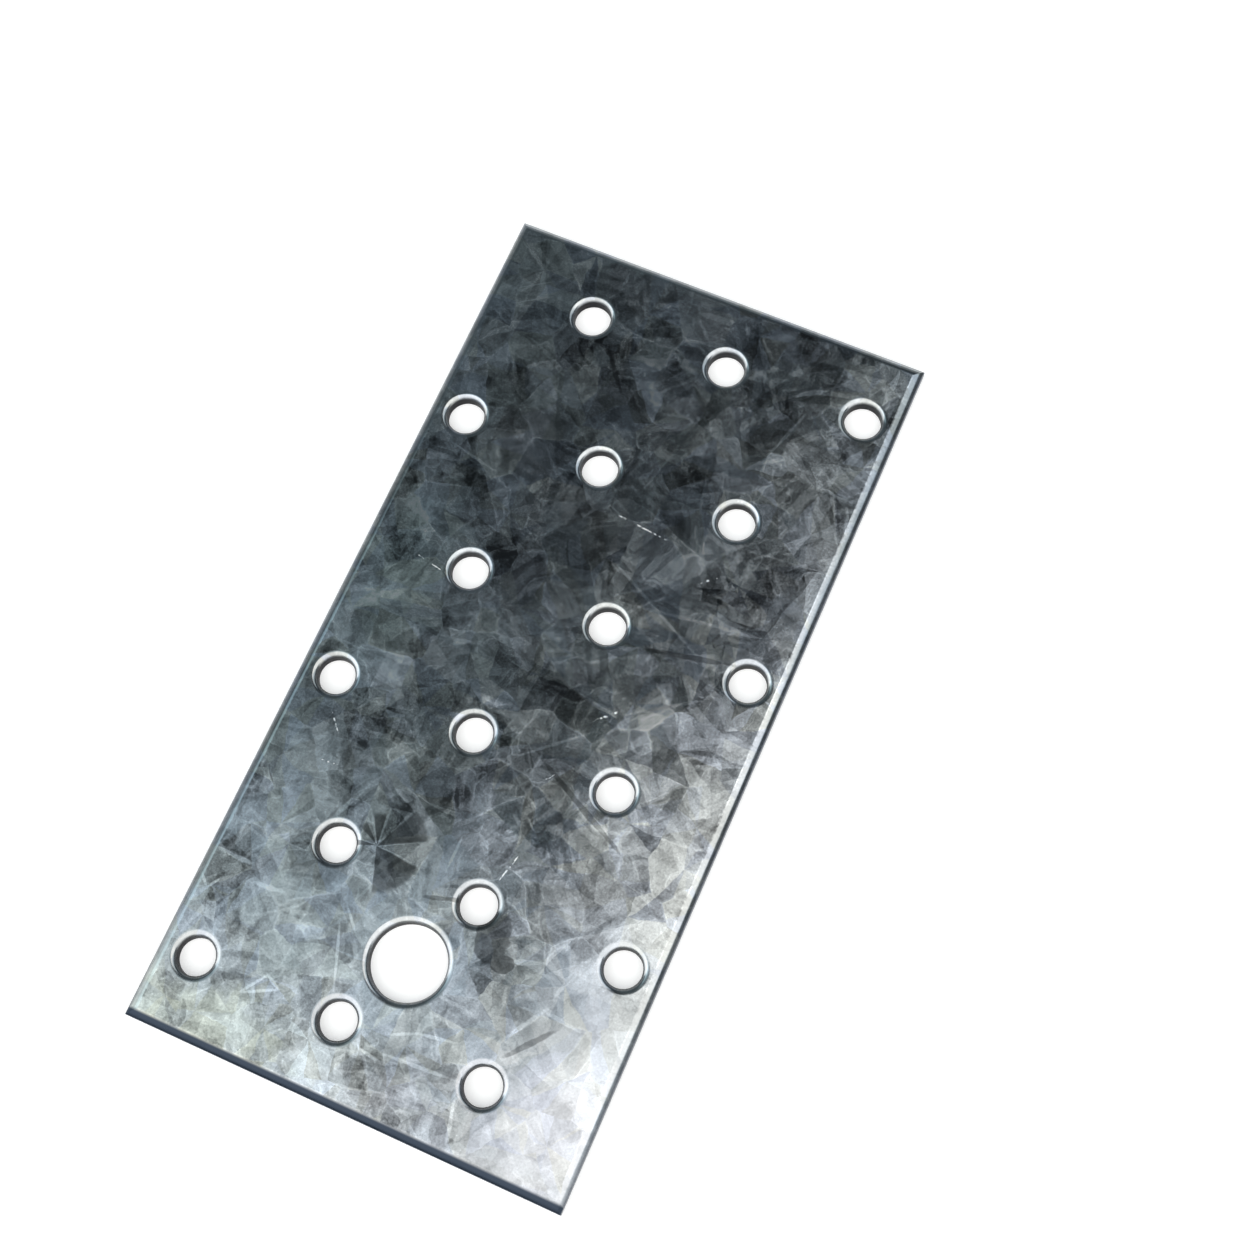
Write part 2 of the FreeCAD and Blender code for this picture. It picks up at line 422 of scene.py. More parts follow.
# Noises: the size of the grains, detail and roughness.
WAVER = (4.5, 3, 0.5)
CLOUD = (11, 3, 0.5)
MOTTLE = (1.6, 4, 0.65)
SPECKLE = (0.30, 2, 0.7)
RAGGED = (2.6, 4, 0.6)
LINE_BREAKS = (5.0, 2, 0.5)
HEM_BREAKS = (3.4, 2, 0.5)
SCRATCH_BREAKS = (0.55, 2, 0.5)
RAY_GRAIN = (1.0, 1, 0.5)
SLIVER_GRAIN = (1.0, 2, 0.5)
THREAD_GRAIN = (1.0, 2, 0.5)
SHEET_WAVE = (38, 1, 0.5)
COAT_DETAIL = (2, 0.45)

# Between which values of a noise a pattern comes up.
COAT_SHOWN = (0.498, 0.512)
RAYS_SHOWN = (0.44, 0.60)
SLIVERS_SHOWN = (0.47, 0.54)
FLECKS_SHOWN = (0.70, 0.80)
LINES_SHOWN = (0.47, 0.60)
HEMS_SHOWN = (0.54, 0.66)
SMEARS_SHOWN = (0.38, 0.62)
SCRATCHES_SHOWN = (0.46, 0.58)

# What each pattern does to the tone: swings to both sides, rises, and shades that darken it.
TONE_SWINGS = {
    "crystal": 0.07,
    "arm": 0.16,
    "shard": 0.21,
    "coat": 0.09,
    "fine_coat": 0.09,
    "flake": 0.13,
    "rays": 0.04,
    "slivers": 0.06,
    "small_slivers": 0.10,
    "cloud": 0.18,
    "mottle": 0.20,
    "speckle": 0.44,
}
TONE_RISES = {
    "weave": 0.55,
    "lines": 0.24,
    "star_lines": 0.35,
    "smears": 0.38,
    "pale_lines": 0.50,
    "flecks": 0.45,
    "scratches": 0.9,
}
TONE_SHADES = {
    "dark_flakes": 0.58,
    "dark_strokes": 0.45,
    "blades": 0.62,
}

# Where along the plate the zinc grows livelier and by how much, and how calm the calm corner and the
# drawn edges are.
LIVELIER = (-40.0, 0.0, 1.10, 1.25)
CORNER_CALM = 0.5
DRAWN_CALM = 0.7

# What each pattern does to the roughness.
ROUGH_SWINGS = {
    "arm_polish": 0.020,
    "shard_polish": 0.022,
    "small_slivers": 0.010,
    "cloud": 0.020,
    "mottle": 0.030,
}
ROUGH_RISES = {
    "lines": 0.015,
    "smears": 0.06,
    "scratches": 0.25,
    "sheared_and_shade": 0.12,
    "punched": 0.40,
}

# How far the arms and the sheet lean, and the bump of the mottle in metres.
LARGE_LEAN = 0.008
SMALL_LEAN = 0.007
SHEET_LEAN = 0.015
BUMP_STRENGTH = 0.08
BUMP_HEIGHT = 0.05 * MM

# Where the upper side of the lower edge takes the dark colour of the sheared edges, along the plate.
DARKER_LOWER_EDGE = (-58.60, -59.15)

# Marks on the upper face, from its middle: place, half length and width, turn in degrees, and how
# ragged the border is.
DARK_FLAKES = (
    ((8.6, -33.0), (2.2, 3.4), 12, 0.20),
    ((11.0, -35.6), (1.6, 1.2), 20, 0.22),
)
DARK_STROKES = (
    ((18.0, -43.3), (3.2, 0.40), 50, 0.35),
    ((16.5, 10.2), (6.0, 0.35), 12, 0.40),
    ((12.0, -13.5), (8.5, 0.35), -27, 0.45),
    ((1.5, -30.8), (3.0, 0.30), 17, 0.40),
    ((-9.0, 44.0), (3.6, 0.30), -52, 0.40),
)
PALE_SMEARS = (
    ((15.8, -15.0), (2.8, 0.8), -16, 0.55),
    ((-4.2, -5.6), (2.6, 0.8), 8, 0.55),
    ((-8.7, 54.6), (3.8, 0.7), 17, 0.50),
    ((-17.0, 30.2), (2.4, 0.6), -8, 0.55),
    ((-24.8, -43.8), (1.5, 0.5), 85, 0.45),
    ((20.6, -11.7), (1.6, 0.4), 40, 0.50),
    ((9.5, 51.0), (2.6, 0.7), 35, 0.55),
)
PALE_LINES = (
    ((10.2, 14.5), (7.5, 0.24), -27, 0.45),
    ((14.0, 14.9), (6.5, 0.26), 8, 0.45),
    ((16.7, 3.0), (4.8, 0.24), 34, 0.45),
    ((5.6, -7.0), (4.8, 0.22), 41, 0.45),
    ((16.5, 44.5), (3.4, 0.22), 73, 0.45),
    ((-21.0, 24.8), (3.2, 0.20), -12, 0.45),
    ((-11.2, 28.2), (2.6, 0.20), -48, 0.45),
    ((-24.6, 51.4), (2.2, 0.10), 33, 0.30),
    ((-23.6, 49.4), (2.6, 0.10), 33, 0.30),
    ((-15.7, -24.5), (2.7, 0.34), 66, 0.35),
    ((-0.5, -25.2), (2.3, 0.18), 90, 0.40),
    ((-25.8, -36.7), (2.4, 0.30), -2, 0.45),
    ((-20.6, -38.6), (2.2, 0.34), 5, 0.45),
    ((-28.4, -41.0), (1.2, 0.18), -45, 0.30),
    ((-27.2, -40.9), (1.1, 0.18), 60, 0.30),
    ((-8.5, -43.0), (3.9, 0.18), -69, 0.35),
    ((-8.9, -38.0), (1.8, 0.18), -48, 0.35),
    ((-16.6, -50.1), (2.1, 0.20), 55, 0.30),
    ((-14.5, -49.0), (1.2, 0.20), -29, 0.30),
    ((-15.6, -50.7), (2.4, 0.20), 27, 0.30),
    ((3.4, -48.2), (1.9, 0.22), 25, 0.40),
    ((7.0, -47.1), (2.2, 0.22), 10, 0.40),
    ((0.4, -52.2), (1.5, 0.24), -8, 0.40),
    ((6.7, -51.1), (4.9, 0.22), 4, 0.40),
    ((13.0, -54.7), (2.9, 0.26), -75, 0.40),
    ((16.8, -41.0), (3.2, 0.30), 58, 0.40),
    ((20.6, -39.0), (2.0, 0.26), -6, 0.40),
    ((13.6, -34.2), (2.2, 0.30), 20, 0.45),
)
SCRATCHES = (
    ((10.4, -0.8), (2.3, 0.16), 44, 0.30),
    ((3.4, 24.4), (4.0, 0.10), -6, 0.30),
    ((14.9, 21.0), (1.6, 0.12), 40, 0.30),
    ((6.6, -24.4), (2.0, 0.11), 76, 0.30),
    ((-20.0, 8.8), (2.4, 0.09), -12, 0.30),
    ((-20.8, -20.9), (1.3, 0.10), 6, 0.30),
    ((-22.5, -15.5), (2.0, 0.09), -48, 0.30),
    ((6.5, -11.5), (0.9, 0.12), 55, 0.30),
)

# Paler and darker areas, each with its place as above and how far it changes the tone: partly the
# zinc's own uneven tone, partly painted light and shade standing in for paler and darker reflections.
TONE_AND_LIGHT_AREAS = (
    (((14.2, -26.0), (4.0, 2.8), 20, 0.35), -0.24),
    (((3.5, -2.0), (6.5, 5.0), 75, 0.45), -0.26),
    (((5.0, -11.0), (5.5, 4.0), 20, 0.45), -0.22),
    (((-6.0, -18.5), (5.4, 3.6), 20, 0.45), -0.22),
    (((-17.0, -20.0), (2.6, 3.6), -20, 0.50), -0.22),
    (((-16.0, -34.0), (3.6, 2.0), 15, 0.50), -0.22),
    (((-5.0, 11.0), (6.5, 4.5), 10, 0.45), -0.34),
    (((-3.5, 22.0), (9.0, 3.5), 10, 0.45), -0.20),
    (((-15.0, 30.0), (5.0, 6.0), 0, 0.45), -0.50),
    (((5.5, -54.0), (6.2, 4.6), 0, 0.35), -0.20),
    (((-25.0, 10.0), (4.0, 8.0), 0, 0.45), 0.35),
    (((-5.0, 50.0), (5.0, 5.0), 0, 0.45), 0.35),
    (((5.0, 31.0), (5.0, 5.0), 0, 0.45), 0.25),
    (((5.0, -50.0), (5.0, 4.0), 0, 0.45), -0.14),
    (((25.0, -51.0), (8.0, 9.0), 0, 0.35), 0.12),
)

# Faint painted tints of reflected light, each with its place as above.
PAINTED_REFLECTION_TINTS = (
    (((-21.0, -57.0), (12.0, 5.0), 6, 0.35), (1.04, 1.03, 0.92, 1)),
    (((22.0, -52.0), (9.0, 9.0), 0, 0.35), (1.02, 0.99, 1.01, 1)),
    (((5.0, -55.5), (6.5, 3.2), 0, 0.35), (1.02, 0.99, 0.99, 1)),
    (((-23.0, 6.0), (5.0, 12.0), 0, 0.40), (0.97, 1.02, 1.00, 1)),
)

# Where the zinc is finely woven and where it is calm, and how the two sets of threads are drawn out.
WEAVE = ((5.0, -55.2), (6.5, 3.4), 0, 0.25)
CALM = ((24.0, -50.0), (11.0, 18.0), 0, 0.25)
WARP = (4.0, 0.3, 1.0)
WEFT = (0.3, 4.0, 1.0)

# How soft the border of each kind of mark is, as a share of its half size.
FLAKE_SOFT = 0.07
STROKE_SOFT = 0.2
SCRATCH_SOFT = 0.25
AREA_SOFT = 0.3
LINE_SOFT = 0.4
VERY_SOFT = 0.6

# A star of crystals, from its middle: where each dark blade starts and ends, in turns from +X
# round to the left, and how far it reaches. Then where its pale lines lie, in turns too, how soft the
# sides and tips of the blades are, and from where to where a line fades along and across it.
STAR_MIDDLE = (-10.0, -28.2, 0.0)
STAR_BLADES = (
    (0.075, 0.185, 6.6),
    (0.275, 0.340, 4.2),
    (0.385, 0.430, 3.4),
    (0.515, 0.560, 3.0),
    (0.800, 0.985, 6.2),
)
STAR_LINES = (0.075, 0.265, 0.350, 0.990)
BLADE_START_SOFT = 0.004
BLADE_END_SOFT = 0.006
BLADE_TIP = (-0.5, 0.3)
STAR_LINE_TIP = (4.0, 6.5)
STAR_LINE_SIDE = (0.05, 0.22)


def patch(tree, face, ragged_noise, mark, soft):
    """A ragged oval on the face: one inside and nothing outside."""
    middle, half_size, turn, ragged = mark
    local = vector_of(tree, "SUBTRACT", face, (*middle, 0))
    local = turned(tree, local, -math.radians(turn))
    local = vector_of(tree, "MULTIPLY", local, (1 / half_size[0], 1 / half_size[1], 0))
    distance = vector_of(tree, "LENGTH", local)
    distance = calculate(tree, "ADD", distance, centred(tree, ragged_noise, 2 * ragged))
    return fade(tree, distance, 1 + soft, 1 - soft)


def patches(tree, face, ragged_noise, marks, soft):
    """All the marks of one kind, as one mask."""
    return combine(tree, "MAXIMUM", 0.0, *[patch(tree, face, ragged_noise, mark, soft) for mark in marks])


def star(tree, bent):
    """The dark blades and the pale lines of the star."""
    local = flattened(tree, vector_of(tree, "SUBTRACT", bent, STAR_MIDDLE))
    radius = vector_of(tree, "LENGTH", local)
    turn = turns_round(tree, local)
    blades = 0.0
    for start, end, reach in STAR_BLADES:
        rise = fade(tree, turn, start - BLADE_START_SOFT, start + BLADE_START_SOFT)
        fall = fade_out(tree, turn, end - BLADE_END_SOFT, end + BLADE_END_SOFT)
        tip = fade_out(tree, radius, *[reach + change for change in BLADE_TIP])
        blades = calculate(tree, "MAXIMUM", blades, combine(tree, "MULTIPLY", rise, fall, tip))
    lines = 0.0
    for start in STAR_LINES:
        away = calculate(tree, "ABSOLUTE", calculate(tree, "SUBTRACT", turn, start))
        away = calculate(tree, "MULTIPLY", away, calculate(tree, "MULTIPLY", radius, 2 * math.pi))
        tip = fade_out(tree, radius, *STAR_LINE_TIP)
        line = calculate(tree, "MULTIPLY", fade_out(tree, away, *STAR_LINE_SIDE), tip)
        lines = calculate(tree, "MAXIMUM", lines, line)
    return blades, lines


# A layer of crystals: what is random for each crystal and for each arm, how each arm leans, and of a
# point in a crystal the place from its middle, the turn round it and a seed of its own.
Crystals = namedtuple("Crystals", "crystal arm lean local turn seed")


def freeze(tree, bent, size, arms):
    """Crystals of the given size, with uneven arms that fan out from the middle of each."""
    grains = cells(tree, bent, size)
    crystal = chances(tree, grains["Color"])
    local = flattened(tree, vector_of(tree, "SUBTRACT", bent, grains["Position"]))
    seed = calculate(tree, "MULTIPLY", crystal[1], SEEDS)
    turn = turns_round(tree, local)
    waves = calculate(tree, "MULTIPLY_ADD", turn, ARM_WAVES * 2 * math.pi, seed)
    waves = calculate(tree, "SINE", waves)
    count = calculate(tree, "MULTIPLY_ADD", waves, ARM_UNEVEN, calculate(tree, "MULTIPLY", turn, arms))
    arm = node(tree, "ShaderNodeTexWhiteNoise", noise_dimensions="3D")
    feed(tree, arm.inputs["Vector"], join(tree, calculate(tree, "FLOOR", count), seed, crystal[2]))
    colour = arm.outputs["Color"]
    return Crystals(crystal, chances(tree, colour), from_middle(tree, colour), local, turn, seed)


def rays_of(tree, layer):
    """Fine rays along the arms of a layer of crystals."""
    outward = calculate(tree, "MULTIPLY", vector_of(tree, "LENGTH", layer.local), RAY_DRIFT)
    place = join(tree, calculate(tree, "MULTIPLY", layer.turn, RAYS_ROUND), outward, layer.seed)
    return fade(tree, grain(tree, place, *RAY_GRAIN), *RAYS_SHOWN)


def slivers_of(tree, layer):
    """Slivers that slant to both sides of an axis through each crystal."""
    axis = calculate(tree, "MULTIPLY", layer.crystal[0], 2 * math.pi)
    along, across = split(tree, turned(tree, layer.local, axis))[:2]
    barb = calculate(tree, "MULTIPLY_ADD", calculate(tree, "ABSOLUTE", across), BARB_SLANT, along)
    barb = calculate(tree, "MULTIPLY", barb, BARBS_ALONG)
    place = join(tree, barb, calculate(tree, "MULTIPLY", across, BARBS_ACROSS), layer.seed)
    return fade(tree, grain(tree, place, *SLIVER_GRAIN), *SLIVERS_SHOWN)


def borders(tree, place, size, thin, wide):
    """Thin lines between crystals of the given size."""
    return fade_out(tree, cells(tree, place, size, feature="DISTANCE_TO_EDGE")["Distance"], thin, wide)


def coats(tree, place, size, hem_width):
    """Thin coats of zinc that ran and overlap: where they lie, and their hems."""
    flow = grain(tree, place, size, *COAT_DETAIL)
    away = calculate(tree, "ABSOLUTE", calculate(tree, "SUBTRACT", flow, COAT_HEM))
    return fade(tree, flow, *COAT_SHOWN), fade_out(tree, away, HEM_CORE * hem_width, hem_width)


def crystal_patterns(tree, face, waver):
    """Large crystals and small shards, the coats over them, the fine flakes, and the pale lines
    where they meet."""
    bent = shifted(tree, face, scaled(tree, waver, BEND))
    small_bent = shifted(tree, bent, SMALL_SHIFT)
    fine_bent = shifted(tree, shifted(tree, face, FINE_SHIFT), scaled(tree, waver, FINE_BEND))
    large = freeze(tree, bent, LARGE_SIZE, LARGE_ARMS)
    small = freeze(tree, small_bent, SMALL_SIZE, SMALL_ARMS)
    coat, hem = coats(tree, bent, COAT_SIZE, HEM_WIDTH)
    fine_coat, fine_hem = coats(tree, fine_bent, FINE_COAT_SIZE, FINE_HEM_WIDTH)

    lines_shown = fade(tree, grain(tree, face, *LINE_BREAKS), *LINES_SHOWN)
    hems_shown = fade(tree, grain(tree, face, *HEM_BREAKS), *HEMS_SHOWN)
    lines = combine(tree, "MAXIMUM", borders(tree, bent, LARGE_SIZE, *LARGE_BORDER), hem,
                    borders(tree, small_bent, SMALL_SIZE, *SMALL_BORDER))
    lines = calculate(tree, "MULTIPLY", lines, lines_shown)
    return {
        "crystal": large.crystal[2],
        "arm": large.arm[1],
        "arm_polish": large.arm[2],
        "arm_lean": large.lean,
        "rays": rays_of(tree, large),
        "slivers": slivers_of(tree, large),
        "shard": small.arm[1],
        "shard_polish": small.arm[0],
        "shard_cast": small.arm[2],
        "shard_lean": small.lean,
        "small_slivers": slivers_of(tree, small),
        "coat": coat,
        "fine_coat": fine_coat,
        "flake": chances(tree, cells(tree, fine_bent, FLAKE_SIZE)["Color"])[0],
        "lines": calculate(tree, "MAXIMUM", lines, calculate(tree, "MULTIPLY", fine_hem, hems_shown)),
    }


def noise_patterns(tree, face):
    """The unevenness of the zinc, from wide clouds to fine flecks."""
    speckle = grain(tree, face, *SPECKLE)
    return {
        "cloud": grain(tree, face, *CLOUD),
        "mottle": grain(tree, face, *MOTTLE),
        "ragged": grain(tree, face, *RAGGED),
        "speckle": speckle,
        "flecks": fade(tree, speckle, *FLECKS_SHOWN),
    }


def mark_patterns(tree, face, waver, mottle, ragged):
    """The marks that have a place of their own."""
    blades, star_lines = star(tree, shifted(tree, face, scaled(tree, waver, STAR_BEND)))
    smears = patches(tree, face, ragged, PALE_SMEARS, VERY_SOFT)
    scratches = patches(tree, face, mottle, SCRATCHES, SCRATCH_SOFT)
    scratches_shown = fade(tree, grain(tree, face, *SCRATCH_BREAKS), *SCRATCHES_SHOWN)
    warp = grain(tree, vector_of(tree, "MULTIPLY", face, WARP), *THREAD_GRAIN)
    weft = grain(tree, vector_of(tree, "MULTIPLY", face, WEFT), *THREAD_GRAIN)
    weave = calculate(tree, "SUBTRACT", calculate(tree, "ADD", warp, weft), 1.0)
    return {
        "blades": blades,
        "star_lines": star_lines,
        "dark_flakes": patches(tree, face, ragged, DARK_FLAKES, FLAKE_SOFT),
        "dark_strokes": patches(tree, face, ragged, DARK_STROKES, STROKE_SOFT),
        "smears": calculate(tree, "MULTIPLY", smears, fade(tree, mottle, *SMEARS_SHOWN)),
        "pale_lines": patches(tree, face, mottle, PALE_LINES, LINE_SOFT),
        "scratches": calculate(tree, "MULTIPLY", scratches, scratches_shown),
        "weave": calculate(tree, "MULTIPLY", weave, patch(tree, face, ragged, WEAVE, VERY_SOFT)),
    }


def zinc_tone(tree, face, along, patterns):
    """How pale the zinc is. The upper half is the livelier. The lower right corner is calm, and so is
    all that the tools drew in."""
    swing = combine(tree, "ADD", *swung(tree, patterns, TONE_SWINGS), *weighed(tree, patterns, TONE_RISES))
    corner = patch(tree, face, patterns["ragged"], CALM, VERY_SOFT)
    calm = combine(tree, "MAXIMUM", calculate(tree, "MULTIPLY", corner, CORNER_CALM),
                   calculate(tree, "MULTIPLY", attribute(tree, "drawn"), DRAWN_CALM))
    lively = calculate(tree, "MULTIPLY", fade(tree, along, *LIVELIER), opposite(tree, calm))
    tone = calculate(tree, "MULTIPLY_ADD", swing, lively, 1.0)
    # Paler and darker areas: partly the zinc's own tone, partly painted light and shade.
    for mark, change in TONE_AND_LIGHT_AREAS:
        area = patch(tree, face, patterns["ragged"], mark, AREA_SOFT)
        tone = calculate(tree, "MULTIPLY", tone, calculate(tree, "MULTIPLY_ADD", area, change, 1.0))
    shade = combine(tree, "MAXIMUM", *weighed(tree, patterns, TONE_SHADES))
    tone = calculate(tree, "MULTIPLY", tone, opposite(tree, shade))
    return calculate(tree, "MAXIMUM", tone, LEAST_TONE)


def zinc_colour(tree, face, tone, patterns):
    """Zinc with a faint cast, from cream to lavender, from crystal to crystal, and a few painted tints of
    reflected light.
    """
    cast = mix_colour(tree, patterns["shard_cast"], CREAM, LAVENDER)
    # A few painted tints stand in for the colour of reflected light.
    for mark, tint in PAINTED_REFLECTION_TINTS:
        tinted = patch(tree, face, patterns["ragged"], mark, VERY_SOFT)
        cast = mix_colour(tree, tinted, cast, tint, blend="MULTIPLY")
    return scaled(tree, vector_of(tree, "MULTIPLY", cast, ZINC), tone)


def zinc_normal(tree, face, patterns):
    """Every arm leans a little, and the sheet itself is not quite flat."""
    wave = from_middle(tree, grain(tree, face, *SHEET_WAVE, output="Color"))
    lean = scaled(tree, patterns["arm_lean"], LARGE_LEAN)
    lean = shifted(tree, lean, scaled(tree, patterns["shard_lean"], SMALL_LEAN))
    lean = shifted(tree, lean, scaled(tree, wave, SHEET_LEAN))
    normal = node(tree, "ShaderNodeNewGeometry").outputs["Normal"]
    bump = node(tree, "ShaderNodeBump")
    feed(tree, bump.inputs["Strength"], BUMP_STRENGTH)
    feed(tree, bump.inputs["Distance"], BUMP_HEIGHT)
    feed(tree, bump.inputs["Height"], patterns["mottle"])
    feed(tree, bump.inputs["Normal"], vector_of(tree, "NORMALIZE", shifted(tree, normal, lean)))
    return bump.outputs["Normal"]


def galvanised_steel(middle_height):
    """Zinc that froze in flat crystals. Each has arms that fan out from its middle, and each arm
    leans and shines in its own way. Below the middle height, the patterns are the underside's."""
    material, tree = new_material("galvanised_steel")
    place = scaled(tree, node(tree, "ShaderNodeTexCoord").outputs["Object"], 1 / MM)
    along, height = split(tree, place)[1:]
    below = calculate(tree, "LESS_THAN", height, middle_height / MM)
    face = shifted(tree, place, scaled(tree, UNDERSIDE_SHIFT, below))
    waver = from_middle(tree, grain(tree, face, *WAVER, output="Color"))

    patterns = noise_patterns(tree, face)
    patterns.update(crystal_patterns(tree, face, waver))
    patterns.update(mark_patterns(tree, face, waver, patterns["mottle"], patterns["ragged"]))
    # The lower edge is darker than the others over its last half millimetre.
    darker_lower_edge = calculate(tree, "MULTIPLY", fade(tree, along, *DARKER_LOWER_EDGE), opposite(tree, below))
    patterns["sheared_and_shade"] = calculate(tree, "MAXIMUM", attribute(tree, "sheared_and_shade"), darker_lower_edge)
    patterns["punched"] = attribute(tree, "punched")

    colour = zinc_colour(tree, face, zinc_tone(tree, face, along, patterns), patterns)
    # The sheared edges take a dark navy: bare steel darkened by painted shade.
    colour = mix_colour(tree, patterns["sheared_and_shade"], colour, SHEARED_STEEL_AND_SHADE)
    # The punched walls inside the holes are nearly black: bare steel darkened by painted shade.
    colour = mix_colour(tree, patterns["punched"], colour, PUNCHED_STEEL_AND_SHADE)
    rough = combine(tree, "ADD", SHINE, *swung(tree, patterns, ROUGH_SWINGS),
                    *weighed(tree, patterns, ROUGH_RISES))

    shader = node(tree, "ShaderNodeBsdfPrincipled")
    feed(tree, shader.inputs["Metallic"], 1.0)
    feed(tree, shader.inputs["Base Color"], colour)
    feed(tree, shader.inputs["Roughness"], rough)
    feed(tree, shader.inputs["Normal"], zinc_normal(tree, face, patterns))
    output = node(tree, "ShaderNodeOutputMaterial")
    feed(tree, output.inputs["Surface"], shader.outputs["BSDF"])
    return material


# The floor

FLOOR_SIZE = 40
FLOOR_GAP = 0.01 * MM
FLOOR_COLOUR = (0.85, 0.85, 0.85, 1)
FLOOR_ROUGHNESS = 0.9
FLOOR_GLOW = 0.42


def make_floor():
    """A wide pale floor just under the plate."""
    bm = bmesh.new()
    bmesh.ops.create_grid(bm, x_segments=1, y_segments=1, size=FLOOR_SIZE / 2)
    bmesh.ops.translate(bm, vec=(0, 0, -FLOOR_GAP), verts=bm.verts)
    floor = new_piece("floor", bm)
    material, tree = new_material("pale_floor")
    rays = node(tree, "ShaderNodeLightPath").outputs
    seen = calculate(tree, "ADD", rays["Is Camera Ray"], rays["Is Glossy Ray"])
    seen = calculate(tree, "ADD", seen, rays["Is Transmission Ray"], clamp=True)
    shader = node(tree, "ShaderNodeBsdfPrincipled")
    feed(tree, shader.inputs["Base Color"], FLOOR_COLOUR)
    feed(tree, shader.inputs["Roughness"], FLOOR_ROUGHNESS)
    feed(tree, shader.inputs["Specular IOR Level"], 0.0)
    feed(tree, shader.inputs["Emission Color"], (1, 1, 1, 1))
    feed(tree, shader.inputs["Emission Strength"], calculate(tree, "MULTIPLY", seen, FLOOR_GLOW))
    output = node(tree, "ShaderNodeOutputMaterial")
    feed(tree, output.inputs["Surface"], shader.outputs["BSDF"])
    floor.data.materials.append(material)


# The light

# The room over the plate is dim, a little paler in the west, with a pale horizon all round. Places
# are given on a level ceiling one unit up, with +X east and +Y north, and as from where to where
# something fades. There, a direction counts as no lower than the least height.
DIM_ROOM = (0.047, 0.058, 0.066)
PALE_WEST = (0.036, 0.047, 0.051)
PALE_WEST_EDGE = (-0.25, -0.29)
PALE_HORIZON = (0.96, 0.95, 0.94)
HORIZON_FADE = (math.sin(math.radians(3)), math.sin(math.radians(6)))
LEAST_HEIGHT = 0.01

# A large soft panel lies in the south, with a wide soft edge, and one in the east. The edge of the
# east panel draws back to the east in the north, where the panel is dimmer too, and the panel lacks
# its south-west corner. The panels are a little warm where they are full and cool where they fade.
PANEL_LIGHT = 1.5
PANEL_LOWEST = 0.02
FULL_CAST = (1.02, 1.01, 0.985, 1)
FAINT_CAST = (0.80, 1.0, 1.11, 1)
SOUTH_EDGE = (0.17, -0.12)
SOUTH_END = (-3.20, -2.00)
EAST_EDGE = (-0.12, -0.06)
EAST_BEND = (0.08, 0.29)
EAST_BLUR = 0.02
EAST_END = (1.40, 1.00)
EAST_NORTH = (0.95, 0.65)
EAST_DIMMER = (0.28, 0.48)
EAST_LEAST = 0.5
CORNER_EAST = (0.10, -0.02)
CORNER_SOUTH = (-0.30, -0.52)

# A faint panel lies in the west and a haze in the south-west, and faint walls stand on all sides but
# the south.
WEST_LIGHT = (0.26, 0.36, 0.39)
WEST_SIDES = ((-0.45, -0.55), (-1.40, -1.00))
WEST_ENDS = ((-0.60, -0.40), (0.40, 0.25))
HAZE_LIGHT = (0.085, 0.105, 0.110)
HAZE_NORTH = (0.33, 0.16)
HAZE_SOUTH = (-0.45, -0.20)
HAZE_EAST = (-0.13, -0.23)
WALL_LIGHT = (0.160, 0.165, 0.170)
WALL_FADE = (math.sin(math.radians(34)), math.sin(math.radians(18)))
WALL_SOUTH = (-0.75, -0.45)


def east_panel(tree, ceiling_x, ceiling_y):
    """Where the east panel shines."""
    edge = fade(tree, ceiling_y, *EAST_BEND, *EAST_EDGE)
    into_east = calculate(tree, "SUBTRACT", ceiling_x, edge)
    corner = calculate(tree, "MULTIPLY", fade(tree, ceiling_x, *CORNER_EAST),
                       fade(tree, ceiling_y, *CORNER_SOUTH))
    return combine(tree, "MULTIPLY", fade(tree, into_east, -EAST_BLUR / 2, EAST_BLUR / 2),
                   fade(tree, ceiling_x, *EAST_END), fade(tree, ceiling_y, *EAST_NORTH),
                   fade(tree, ceiling_y, *EAST_DIMMER, 1.0, EAST_LEAST), opposite(tree, corner))


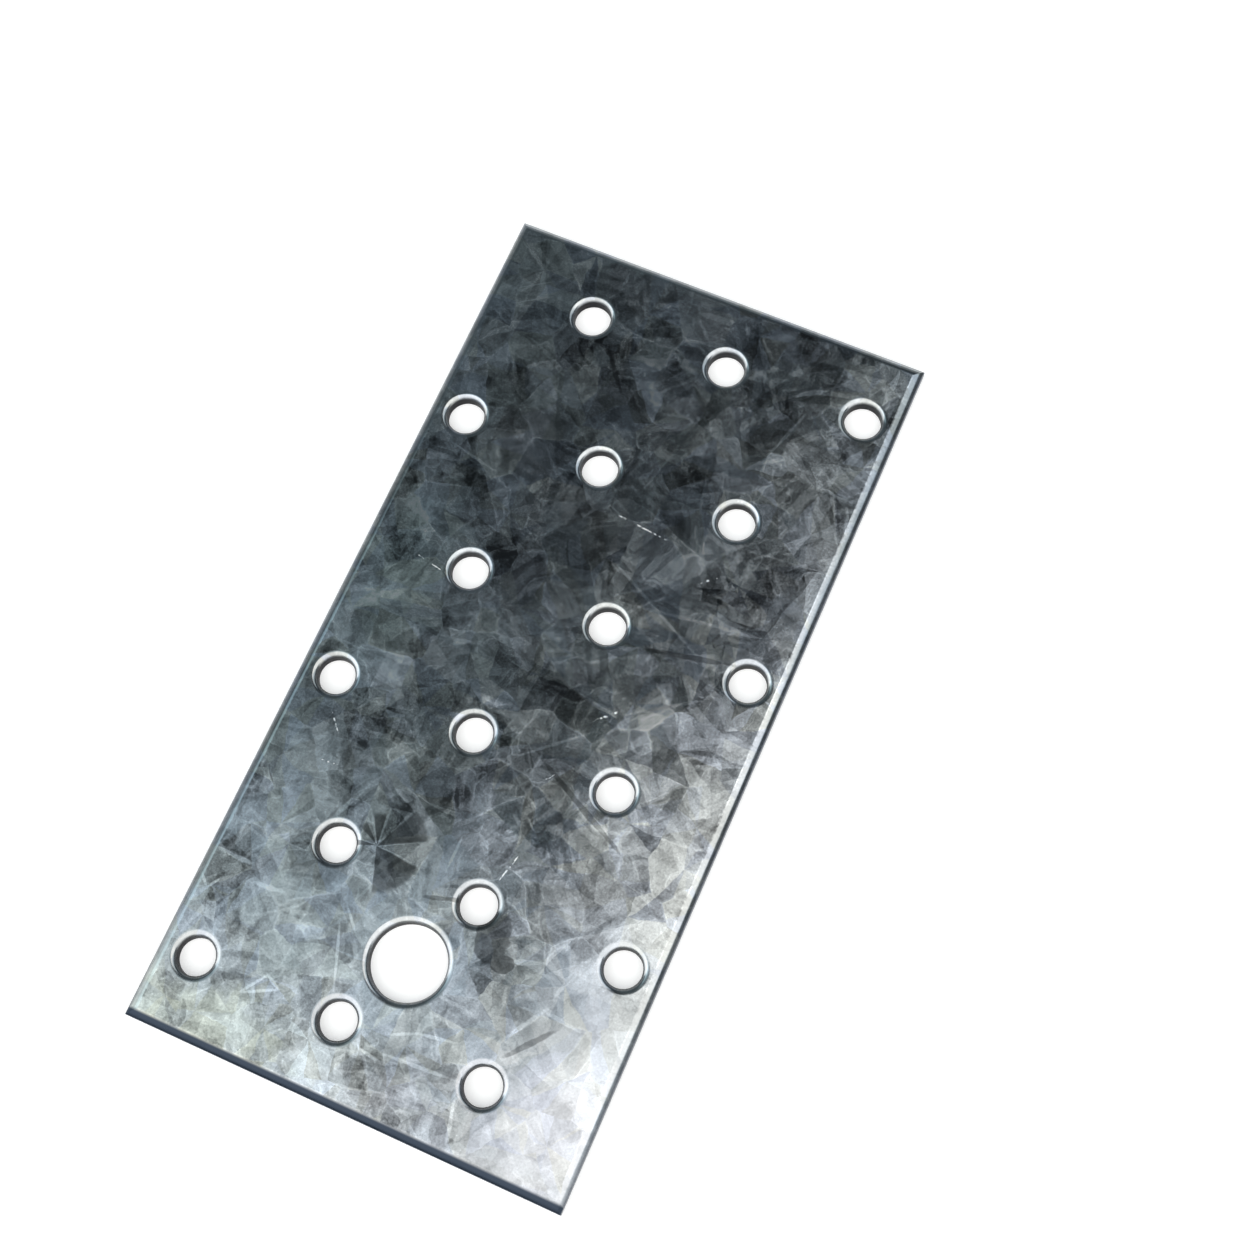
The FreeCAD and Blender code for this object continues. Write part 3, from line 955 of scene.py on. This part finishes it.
def light_room():
    """Paints the room's light on the world."""
    world = bpy.data.worlds.new("room")
    bpy.context.scene.world = world
    world.use_nodes = True
    tree = world.node_tree
    tree.nodes.clear()
    x, y, z = split(tree, node(tree, "ShaderNodeTexCoord").outputs["Generated"])
    up = calculate(tree, "MAXIMUM", z, LEAST_HEIGHT)
    ceiling_x = calculate(tree, "DIVIDE", x, up)
    ceiling_y = calculate(tree, "DIVIDE", y, up)

    south = calculate(tree, "MULTIPLY", fade(tree, ceiling_y, *SOUTH_EDGE),
                      fade(tree, ceiling_y, *SOUTH_END))
    panels = calculate(tree, "MAXIMUM", south, east_panel(tree, ceiling_x, ceiling_y))
    panels = calculate(tree, "MULTIPLY", panels, calculate(tree, "GREATER_THAN", z, PANEL_LOWEST))
    cast = mix_colour(tree, panels, FAINT_CAST, FULL_CAST)
    light = scaled(tree, cast, calculate(tree, "MULTIPLY", panels, PANEL_LIGHT))

    west = combine(tree, "MULTIPLY", *[fade(tree, ceiling_x, *side) for side in WEST_SIDES],
                   *[fade(tree, ceiling_y, *end) for end in WEST_ENDS])
    haze = combine(tree, "MULTIPLY", fade(tree, ceiling_y, *HAZE_NORTH), fade(tree, ceiling_y, *HAZE_SOUTH),
                   fade(tree, ceiling_x, *HAZE_EAST))
    pale_west = fade(tree, ceiling_x, *PALE_WEST_EDGE)
    walls = calculate(tree, "MULTIPLY", fade(tree, z, *WALL_FADE), fade(tree, y, *WALL_SOUTH))
    horizon = fade_out(tree, z, *HORIZON_FADE)
    for colour, mask in ((WEST_LIGHT, west), (HAZE_LIGHT, haze), (PALE_WEST, pale_west),
                         (WALL_LIGHT, walls), (PALE_HORIZON, horizon)):
        light = shifted(tree, light, scaled(tree, colour, mask))
    light = shifted(tree, light, DIM_ROOM)
    background = node(tree, "ShaderNodeBackground")
    feed(tree, background.inputs["Color"], light)
    output = node(tree, "ShaderNodeOutputWorld")
    feed(tree, output.inputs["Surface"], background.outputs["Background"])


# The camera

# It looks down on the plate as in the photograph. Its aim is the point of the upper face in the
# middle of the picture.
CAMERA_AIM = (7.14 * MM, 11.02 * MM)
CAMERA_DISTANCE = 260.6 * MM
CAMERA_HEADING = math.radians(32.32)
CAMERA_PITCH = math.radians(72.10)
CAMERA_ROLL = math.radians(-8.90)
CAMERA_NEAR = 10 * MM
PICTURE_PIXELS = 1250
FOCAL_PIXELS = 1989
SENSOR_MM = 36


def place_camera(face_height):
    """The camera, level at first and then rolled."""
    data = bpy.data.cameras.new("camera")
    data.sensor_width = SENSOR_MM
    data.lens = SENSOR_MM * FOCAL_PIXELS / PICTURE_PIXELS
    data.clip_start = CAMERA_NEAR
    camera = bpy.data.objects.new("camera", data)
    bpy.context.scene.collection.objects.link(camera)
    aim = Vector((*CAMERA_AIM, face_height))
    back = Vector((math.sin(CAMERA_HEADING) * math.cos(CAMERA_PITCH),
                   -math.cos(CAMERA_HEADING) * math.cos(CAMERA_PITCH),
                   math.sin(CAMERA_PITCH)))
    level = (-back).to_track_quat("-Z", "Y").to_matrix().to_4x4()
    roll = Matrix.Rotation(CAMERA_ROLL, 4, "Z")
    camera.matrix_world = Matrix.Translation(aim + back * CAMERA_DISTANCE) @ level @ roll
    bpy.context.scene.camera = camera


low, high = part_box(NODE)
bores = [mount for mount in frame["record"]["mounts"] if mount["kind"] == "bore"]
holes = [(*mount["pos_m"][:2], mount["dims"]["r_mm"] * MM) for mount in bores]
plate = make_plate(holes, low, high)
plate.data.materials.append(galvanised_steel((low.z + high.z) / 2))
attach(plate, "root")
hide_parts(NODE)

make_floor()
light_room()
place_camera(high.z)
bpy.context.scene.view_settings.view_transform = "Standard"
